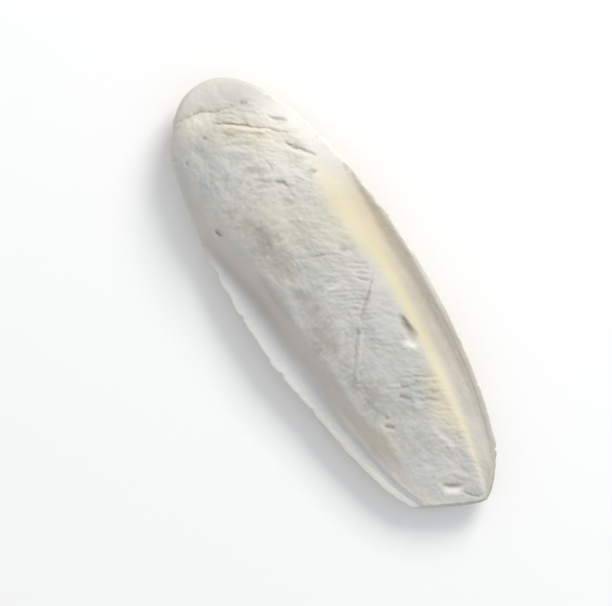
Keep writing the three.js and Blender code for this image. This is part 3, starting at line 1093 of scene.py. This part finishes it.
@dataclass(frozen=True)
class Skin:
    """The bone's whole surface as one closed piece, with its marks and the shares its finishes read."""

    outline: Outline
    shield: Shield
    chalk: Chalk
    wear: Wear
    net: SkinNet = SkinNet()
    rim_wear_width: float = 2.5
    # The broken face is chipped lengthwise; the chips are laid out over its width and height.
    broken_width: float = 1.4
    chips: Clouds = Clouds(0.6, 2.4, 23.5)
    # A cream crest runs along the right shoulder and widens to a patch.
    crest_share: float = 0.66
    crest_slope: float = 0.0021
    crest_width: float = 0.075
    patch_width: float = 0.17
    patch_tail: Span = (-2.0, 14.0)
    patch_head: Span = (42.0, 24.0)
    streaks: Clouds = Clouds(0.6, 2.6, 26.5)
    streak_stretch: float = 9.0
    smudge_level: float = 0.95
    horn_edge: Clouds = Clouds(1.4, 11.0, 24.5)
    # The heights in mm at which raised places get their full painted highlight and hollows darken with
    # painted shade.
    highlight_height: float = 0.8
    hollow_depth: float = 0.5
    hollow_level: float = 0.1

    def chalk_y(self, x: Field, across: Field, side: Side) -> Field:
        """Spreads points across the chalk side so that a fixed share of them lies on the foot.

        Args:
            x: the rings' places along, in mm.
            across: shares from 0 on the middle to 1 on the rim.
            side: which side of the middle.

        Returns:
            The points' y, in mm.
        """
        left, right = self.outline.edge(x, Side.LEFT), self.outline.edge(x, Side.RIGHT)
        middle = (left + right) / 2
        half = np.maximum((left - right) / 2, TINY)
        foot = (self.chalk.foot(x, side.value) - side.value * middle) / half
        foot = np.clip(foot, *self.net.foot_limits)
        past = np.maximum(across - self.net.foot_at, 0) / (1 - self.net.foot_at)
        on_wing = mix(foot, 1, 1 - (1 - past) ** 2)
        share = np.where(across < self.net.foot_at, foot * across / self.net.foot_at, on_wing)
        return middle + side.value * half * share

    def plan(self) -> tuple[Field, Field, Field]:
        """Lays the net's points out in plan.

        Returns:
            The x and y of each point of each ring, in mm, and whether it is on the chalk side.
        """
        net = self.net
        rings = 1 - np.arange(net.rings + 1)[:, None] / net.rings
        round_share = np.arange(net.points)[None, :] / net.points
        x = self.outline.length / 2 * crowded(rings, net.end_crowding)
        chalk_share = net.chalk_points / net.points
        on_chalk = round_share < chalk_share
        across = 1 - 2 * round_share / chalk_share
        left_y, right_y = (self.chalk_y(x, np.abs(across), side) for side in Side)
        over = np.where(across > 0, left_y, right_y)
        under_share = np.clip((round_share - chalk_share) / (1 - chalk_share), 0, 1)
        left, right = (self.outline.edge(x, side) for side in Side)
        under = mix(right, left, (crowded(under_share, net.edge_crowding) + 1) / 2)
        y = np.where(on_chalk, over, under)
        return np.broadcast_to(x, y.shape), y, np.broadcast_to(on_chalk, y.shape)

    def worn_back(self, x: Field, y: Field) -> Field:
        """Returns how far each point moves in where the rim is worn back, in mm, with the sign of y."""
        left, right = (side.value * self.outline.raggedness(x[:, :1], side) for side in Side)
        return bell(self.outline.grown_distance(x, y), self.rim_wear_width) * np.where(y > 0, left, right)

    def measures(self, x: Field, y: Field) -> dict[str, Field]:
        """Measures where every point of the skin lies, for the zones.

        Args:
            x: places along, in mm.
            y: places across, in mm.

        Returns:
            Distances in mm and shares, by name.
        """
        foot = self.chalk.foot(x, y)
        across = y / np.maximum(self.outline.half_width(x), LEAST_WIDTH)
        from_rim, from_break = self.outline.grown_distance(x, y), self.outline.break_distance(x, y)
        inward = np.minimum(from_rim, from_break)
        from_crest = -across - self.crest_share - self.crest_slope * np.minimum(x, 0)
        patch = ramp(x, *self.patch_tail) * ramp(x, *self.patch_head)
        streaks = self.streaks.at(x / self.streak_stretch, y)
        return {
            "even": np.ones(x.shape),
            "x": x,
            "y": y,
            "across": across,
            "to_foot": np.abs(y) / foot,
            "past_foot": np.abs(y) - foot,
            "from_rim": from_rim,
            "from_break": from_break,
            "inward": inward,
            "horn_inward": inward + self.horn_edge.at(x, y),
            "from_crest": from_crest,
            "crest_widths": from_crest / mix(self.crest_width, self.patch_width, patch),
            "smudges": self.smudge_level + streaks,
            "streaks": np.maximum(streaks, 0),
            "frayed": self.outline.frayed(x),
            # Painted highlights at the listed places.
            "listed_highlights": self.wear.tinted(PAINTED_HIGHLIGHTS, x, y),
            "straw": self.wear.tinted(STRAW_STAINS, x, y),
        }

    def surface(self) -> tuple[Field, dict[str, Field]]:
        """Works out every point of the skin and the shares that its finishes read.

        Returns:
            Places in metres by axis, ring and point, and shares from 0 to 1 by name.
        """
        x, y, on_chalk = self.plan()
        depth, tint = self.wear.depth(x, y)
        relief = self.wear.relief(x, y) + self.wear.crumbled_rims(x, y)
        upper = self.chalk.joined(x, y) + self.shield.wing_ridges(x, y) + relief - depth
        face = np.where(on_chalk, upper, self.shield.underside(x, y))
        z = mix(self.shield.rim_middle(x, y), face, self.outline.opened(x, y))
        # Painted shade: the further the marks and relief take a place below the plain form, the darker;
        # raised places get painted highlights.
        crevice = (depth - relief) / self.hollow_depth + self.hollow_level
        measures = self.measures(x, y) | {
            "tint": tint,
            "hollow": np.where(on_chalk, crevice, self.shield.line_troughs(x, y)),
            "raised": -depth / self.highlight_height,
        }
        shares = {
            name: np.clip(np.maximum.reduce([zone.share(measures) for zone in zones]), 0, 1)
            for name, zones in ZONES.items()
        }
        chipped = bell(self.outline.break_distance(x, y), self.broken_width) * np.abs(self.chips.at(y, z))
        return np.stack([x + chipped, y - self.worn_back(x, y), z]) * METRES, shares

    def build(self) -> bpy.types.Object:
        """Makes the skin's mesh and object.

        Returns:
            The object, at the origin, with its place in its mesh.
        """
        points, shares = self.surface()
        net = self.net.sphere()
        places = [self.net.places(vertex) for vertex in net.verts]
        for vertex, (ring, point) in zip(net.verts, places):
            vertex.co = Vector(points[:, ring, point])
        chalk_points = self.net.chalk_points
        under = {vertex for vertex, (_, point) in zip(net.verts, places) if point > chalk_points}
        for face in net.faces:
            face.smooth = True
            face.material_index = int(any(vertex in under for vertex in face.verts))
        bmesh.ops.recalc_face_normals(net, faces=net.faces)
        mesh = bpy.data.meshes.new(SKIN)
        net.to_mesh(mesh)
        net.free()
        rings, points_round = np.array(places).T
        for name, share in shares.items():
            attribute = mesh.attributes.new(name, "FLOAT", "POINT")
            attribute.data.foreach_set("value", share[rings, points_round].astype(np.float32))
        piece = bpy.data.objects.new(SKIN, mesh)
        bpy.context.scene.collection.objects.link(piece)
        return piece


def add_node(
    tree: Tree, kind: str, settings: dict[str, object] | None = None, links: dict[str, Socket] | None = None
) -> bpy.types.Node:
    """Adds a shader node, with its settings and what feeds its inputs.

    Args:
        tree: the tree that gets the node.
        kind: the node's Blender type.
        settings: properties by name, and unlinked inputs by name or number after "in:".
        links: the sockets that feed its inputs, by input name or number.

    Returns:
        The new node.
    """
    node = tree.nodes.new(kind)
    for name, value in (settings or {}).items():
        if name.startswith("in:"):
            key = name[3:]
            node.inputs[int(key) if key.isdigit() else key].default_value = value
        else:
            setattr(node, name, value)
    for name, socket in (links or {}).items():
        tree.links.new(socket, node.inputs[int(name) if name.isdigit() else name])
    return node


@dataclass(frozen=True)
class Grain:
    """A random texture of a real size, which can mottle a finish and roughen it.

    Attributes:
        name: what the grain is.
        size_mm: the size of its largest blots.
        detail: how many finer layers it has.
        depth_mm: how deep its relief is, and 0 where it has none.
        roughness: how strong the finer layers are.
    """

    name: str
    size_mm: float
    detail: float
    depth_mm: float = 0.0
    roughness: float = 0.6


@dataclass(frozen=True)
class Coat:
    """A tone laid over a finish where a grain or one of the skin's own shares says so.

    Attributes:
        tone: its colour.
        source: the name of the grain or share.
        start: the value at which it starts to show.
        full: the value at which it shows most.
        cover: how much of what lies below is hidden there.
    """

    tone: Tone
    source: str
    start: float
    full: float
    cover: float


@dataclass(frozen=True)
class Finish:
    """A material: a base tone under its coats, one gloss, and relief from its grains.

    Attributes:
        name: what the material is and how its surface was made.
        roughness: how dull it is.
        base: the tone under all coats.
        grains: its grains, from coarse to fine.
        coats: its coats, from the lowest to the top one.
    """

    name: str
    roughness: float
    base: Tone
    grains: Sequence[Grain] = ()
    coats: Sequence[Coat] = ()

    def build(self) -> bpy.types.Material:
        """Makes the material.

        Returns:
            The material.
        """
        material = bpy.data.materials.new(self.name)
        material.use_nodes = True
        tree = material.node_tree
        shader = tree.nodes["Principled BSDF"]
        shader.inputs["Roughness"].default_value = self.roughness
        shader.inputs["Base Color"].default_value = linear(self.base)
        place = add_node(tree, "ShaderNodeTexCoord").outputs["Object"]
        sources = self.sources(tree, place)
        if self.coats:
            tree.links.new(self.colour(tree, sources), shader.inputs["Base Color"])
        tree.links.new(self.relief(tree, place, sources), shader.inputs["Normal"])
        return material

    def sources(self, tree: Tree, place: Socket) -> dict[str, Socket]:
        """Adds the grains' textures, and reads the skin's shares that the coats name.

        Args:
            tree: the tree that gets the nodes.
            place: Object coordinates, in metres.

        Returns:
            Values from 0 to 1 by name.
        """
        sources = {}
        for grain in self.grains:
            scale = 1 / (grain.size_mm * METRES)
            settings = {"in:Scale": scale, "in:Detail": grain.detail, "in:Roughness": grain.roughness}
            sources[grain.name] = add_node(tree, "ShaderNodeTexNoise", settings, {"Vector": place}).outputs[0]
        for coat in self.coats:
            if coat.source not in sources:
                settings = {"attribute_name": coat.source}
                sources[coat.source] = add_node(tree, "ShaderNodeAttribute", settings).outputs["Fac"]
        return sources

    def colour(self, tree: Tree, sources: dict[str, Socket]) -> Socket:
        """Lays the coats over the base tone.

        Args:
            tree: the tree that gets the nodes.
            sources: the grains and shares, by name.

        Returns:
            The colour.
        """
        under = {}
        for coat in self.coats:
            span = {"in:From Min": coat.start, "in:From Max": coat.full, "in:To Max": coat.cover}
            cover = add_node(tree, "ShaderNodeMapRange", span, {"Value": sources[coat.source]}).outputs[0]
            tones = {"data_type": "RGBA", "in:6": linear(self.base), "in:7": linear(coat.tone)}
            under = {"6": add_node(tree, "ShaderNodeMix", tones, {"0": cover} | under).outputs[2]}
        return under["6"]

    def heights(self, tree: Tree, place: Socket, sources: dict[str, Socket]) -> list[tuple[Socket, float]]:
        """Returns what roughens the finish, coarsest first: heights from 0 to 1 and depths in mm."""
        return [(sources[grain.name], grain.depth_mm) for grain in self.grains if grain.depth_mm]

    def relief(self, tree: Tree, place: Socket, sources: dict[str, Socket]) -> Socket:
        """Adds the fine relief, each grain's on the one before it.

        Args:
            tree: the tree that gets the nodes.
            place: Object coordinates, in metres.
            sources: the grains and shares, by name.

        Returns:
            The normal.
        """
        below = {}
        for height, depth_mm in self.heights(tree, place, sources):
            settings = {"in:Strength": 1.0, "in:Distance": depth_mm * METRES}
            bump = add_node(tree, "ShaderNodeBump", settings, {"Height": height} | below)
            below = {"Normal": bump.outputs[0]}
        return below["Normal"]


@dataclass(frozen=True)
class ChalkFinish(Finish):
    """Lamellar aragonite chalk, dried in the sun and handled.

    It is dull and powdery, so that it has no gloss at all; the eye reads it by its crumbs and crevices.
    """

    name: str = "lamellar_aragonite_sun_dried"
    roughness: float = 0.95
    base: Tone = Tone.CHALK
    grains: Sequence[Grain] = (
        Grain("blots", 14.0, 4),
        Grain("mottles", 5.0, 4),
        Grain("crumbs", 1.6, 3, 0.2),
        # The real powder is finer than a tenth of a millimetre and is drawn coarser, so that it shows.
        Grain("powder", 0.45, 2, 0.06),
    )
    coats: Sequence[Coat] = (
        Coat(Tone.CHALK_GREY, "blots", 0.35, 0.65, 1.0),
        # Painted shade colour of the left flank.
        Coat(Tone.CHALK_DUST_AND_SHADE, "left_flank", 0.0, 1.0, 0.8),
        Coat(Tone.LEFT_WING, "left_wing", 0.0, 1.0, 0.9),
        Coat(Tone.CHALK_GREY, "tail_wing", 0.0, 1.0, 0.65),
        Coat(Tone.RIGHT_WING, "right_wing", 0.0, 1.0, 0.9),
        # Painted shade along the loaf's foot, and grubby streaks.
        Coat(Tone.CREVICE, "painted_shade_and_streaks", 0.0, 1.0, 0.24),
        Coat(Tone.CHALK_CREAM, "crest", 0.0, 1.0, 0.75),
        Coat(Tone.CHALK_CREAM, "crumbs", 0.52, 0.72, 0.26),
        Coat(Tone.CHALK_DUST_AND_SHADE, "mottles", 0.5, 0.75, 0.4),
        # Painted highlights, and a lighter tail.
        Coat(Tone.HIGHLIGHT_WHITE, "painted_highlights_and_pale_tail", 0.0, 1.0, 0.85),
        Coat(Tone.CHALK_CREAM, "straw", 0.0, 1.0, 0.9),
        # Painted shade in hollows.
        Coat(Tone.CREVICE, "hollow", 0.35, 1.0, 0.3),
        # Painted shade with brown grime in cracks and pits.
        Coat(Tone.PIT_BROWN, "tint", 0.05, 1.0, 0.6),
        Coat(Tone.CHALK_CREAM, "rim", 0.3, 1.0, 0.15),
    )
    lamella_mm: float = 0.55
    lamella_depth_mm: float = 0.2
    lamella_distortion: float = 1.5
    lamella_detail_scale: float = 0.3

    def heights(self, tree: Tree, place: Socket, sources: dict[str, Socket]) -> list[tuple[Socket, float]]:
        """Adds the edges of the chalk's lamellae, which show where the tail was snapped off.

        Args:
            tree: the tree that gets the nodes.
            place: Object coordinates, in metres.
            sources: the grains and shares, by name.

        Returns:
            The lamellae, then the grains: heights from 0 to 1 and their depths in mm.
        """
        settings = {
            "bands_direction": "Z",
            # A wave texture repeats every tenth of pi in its own units.
            "in:Scale": math.pi / 10 / (self.lamella_mm * METRES),
            "in:Distortion": self.lamella_distortion,
            "in:Detail Scale": self.lamella_detail_scale,
        }
        waves = add_node(tree, "ShaderNodeTexWave", settings, {"Vector": place}).outputs["Fac"]
        broken = add_node(tree, "ShaderNodeAttribute", {"attribute_name": "broken"}).outputs["Fac"]
        shown = add_node(tree, "ShaderNodeMath", {"operation": "MULTIPLY"}, {"0": waves, "1": broken})
        return [(shown.outputs[0], self.lamella_depth_mm), *super().heights(tree, place, sources)]


@dataclass(frozen=True)
class ShieldFinish(Finish):
    """Granular aragonite over a film of horn, grown in lines.

    It is harder and a little smoother than the chalk, and the horn film tints its margin like old varnish.
    """

    name: str = "granular_aragonite_grown"
    roughness: float = 0.72
    base: Tone = Tone.SHIELD
    grains: Sequence[Grain] = (Grain("blots", 18.0, 4), Grain("granules", 0.8, 3, 0.12))
    coats: Sequence[Coat] = (
        Coat(Tone.SHIELD_LINE, "blots", 0.4, 0.75, 0.7),
        # Painted shade in the troughs between growth lines.
        Coat(Tone.SHIELD_LINE, "hollow", 0.5, 1.0, 0.7),
        Coat(Tone.HORN, "horn", 0.2, 1.0, 0.8),
    )


@dataclass(frozen=True)
class PaperFinish(Finish):
    """Matt white backdrop paper, which gives a plain pale ground."""

    name: str = "backdrop_paper"
    roughness: float = 0.9
    base: Tone = Tone.PAPER
    grains: Sequence[Grain] = (Grain("fibres", 2.0, 3, 0.02),)


@dataclass(frozen=True)
class Studio:
    """The pale floor, the soft light and the camera, which looks straight down on the bone.

    Attributes:
        picture_right: the picture's right in the bone's plan.
        picture_up: the picture's top in the bone's plan.
        centre_mm: the place on the bone at the picture's middle.
        across_mm: how much of the bone's plan the picture is wide.
        middle_height_mm: the height at which that width holds.
        lens_mm: the camera's lens.
        sensor_mm: the camera's sensor width.
        floor_m: the floor's width.
        key_turn: where the light comes from, in degrees from the picture's right towards its top.
        key_elevation: how high the light stands, in degrees.
        key_distance_m: how far off it stands.
        key_size_m: how wide it is.
        key_watts: how strong it is.
        sky_strength: how strong the even sky is.
    """

    picture_right: Place = (-0.547, -0.837)
    picture_up: Place = (0.837, -0.547)
    centre_mm: Place = (3.3, 8.2)
    across_mm: float = 183.6
    middle_height_mm: float = 10.0
    lens_mm: float = 200.0
    sensor_mm: float = 36.0
    floor_m: float = 4.0
    key_turn: float = 58.0
    key_elevation: float = 36.0
    key_distance_m: float = 1.2
    key_size_m: float = 0.55
    key_watts: float = 9.5
    sky_strength: float = 0.7

    def picture_axes(self) -> tuple[Vector, Vector]:
        """Returns the picture's right and its top as directions in the bone's plan."""
        return Vector((*self.picture_right, 0)), Vector((*self.picture_up, 0))

    def build_floor(self) -> bpy.types.Object:
        """Makes the floor that the bone lies on.

        Returns:
            The floor's object.
        """
        sheet = bmesh.new()
        bmesh.ops.create_grid(sheet, x_segments=1, y_segments=1, size=self.floor_m / 2)
        mesh = bpy.data.meshes.new("floor")
        sheet.to_mesh(mesh)
        sheet.free()
        mesh.materials.append(PaperFinish().build())
        floor = bpy.data.objects.new("floor", mesh)
        bpy.context.scene.collection.objects.link(floor)
        return floor

    def build_camera(self) -> bpy.types.Object:
        """Makes the camera, square over the bone.

        Returns:
            The camera's object.
        """
        data = bpy.data.cameras.new("camera")
        data.lens = self.lens_mm
        data.sensor_width = self.sensor_mm
        camera = bpy.data.objects.new("camera", data)
        right, up = self.picture_axes()
        turn = Matrix((right.normalized(), up.normalized(), Vector((0, 0, 1)))).transposed().to_4x4()
        rise = self.across_mm * self.lens_mm / self.sensor_mm + self.middle_height_mm
        place = Vector((*self.centre_mm, rise)) * METRES
        camera.matrix_world = Matrix.Translation(place) @ turn
        bpy.context.scene.collection.objects.link(camera)
        bpy.context.scene.camera = camera
        return camera

    def build_light(self) -> bpy.types.Object:
        """Makes one large soft light at the picture's upper right, and a pale even sky.

        Returns:
            The light's object.
        """
        turn, rise = math.radians(self.key_turn), math.radians(self.key_elevation)
        right, up = self.picture_axes()
        level = right * math.cos(turn) + up * math.sin(turn)
        towards = level * math.cos(rise) + Vector((0, 0, math.sin(rise)))
        data = bpy.data.lights.new("soft_window", "AREA")
        data.size = self.key_size_m
        data.energy = self.key_watts
        data.color = linear(Tone.DAYLIGHT)[:3]
        light = bpy.data.objects.new("soft_window", data)
        light.location = towards * self.key_distance_m
        light.rotation_euler = towards.to_track_quat("Z", "Y").to_euler()
        bpy.context.scene.collection.objects.link(light)
        world = bpy.data.worlds.new("pale_sky")
        world.use_nodes = True
        sky = world.node_tree.nodes["Background"]
        sky.inputs["Color"].default_value = linear(Tone.SKY)
        sky.inputs["Strength"].default_value = self.sky_strength
        bpy.context.scene.world = world
        bpy.context.scene.view_settings.view_transform = "Standard"
        return light


def main() -> None:
    """Builds the floor, camera and light, and the bone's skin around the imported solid."""
    logging.basicConfig(level=logging.INFO, format="%(name)s: %(message)s")
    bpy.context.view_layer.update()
    studio = Studio()
    for thing in (studio.build_floor(), studio.build_camera(), studio.build_light()):
        LOG.info("studio: %s", thing.name)
    low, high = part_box(NODE)
    length, width = ((high - low).xy / METRES).to_tuple()
    outline = Outline(length, width)
    shield = Shield(outline)
    chalk = Chalk(outline, shield)
    piece = Skin(outline, shield, chalk, Wear(outline)).build()
    piece.data.materials.append(ChalkFinish().build())
    piece.data.materials.append(ShieldFinish().build())
    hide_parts(NODE)
    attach(piece, "root")
    LOG.info("%s: %d faces", piece.name, len(piece.data.polygons))


if __name__ == "__main__":
    main()
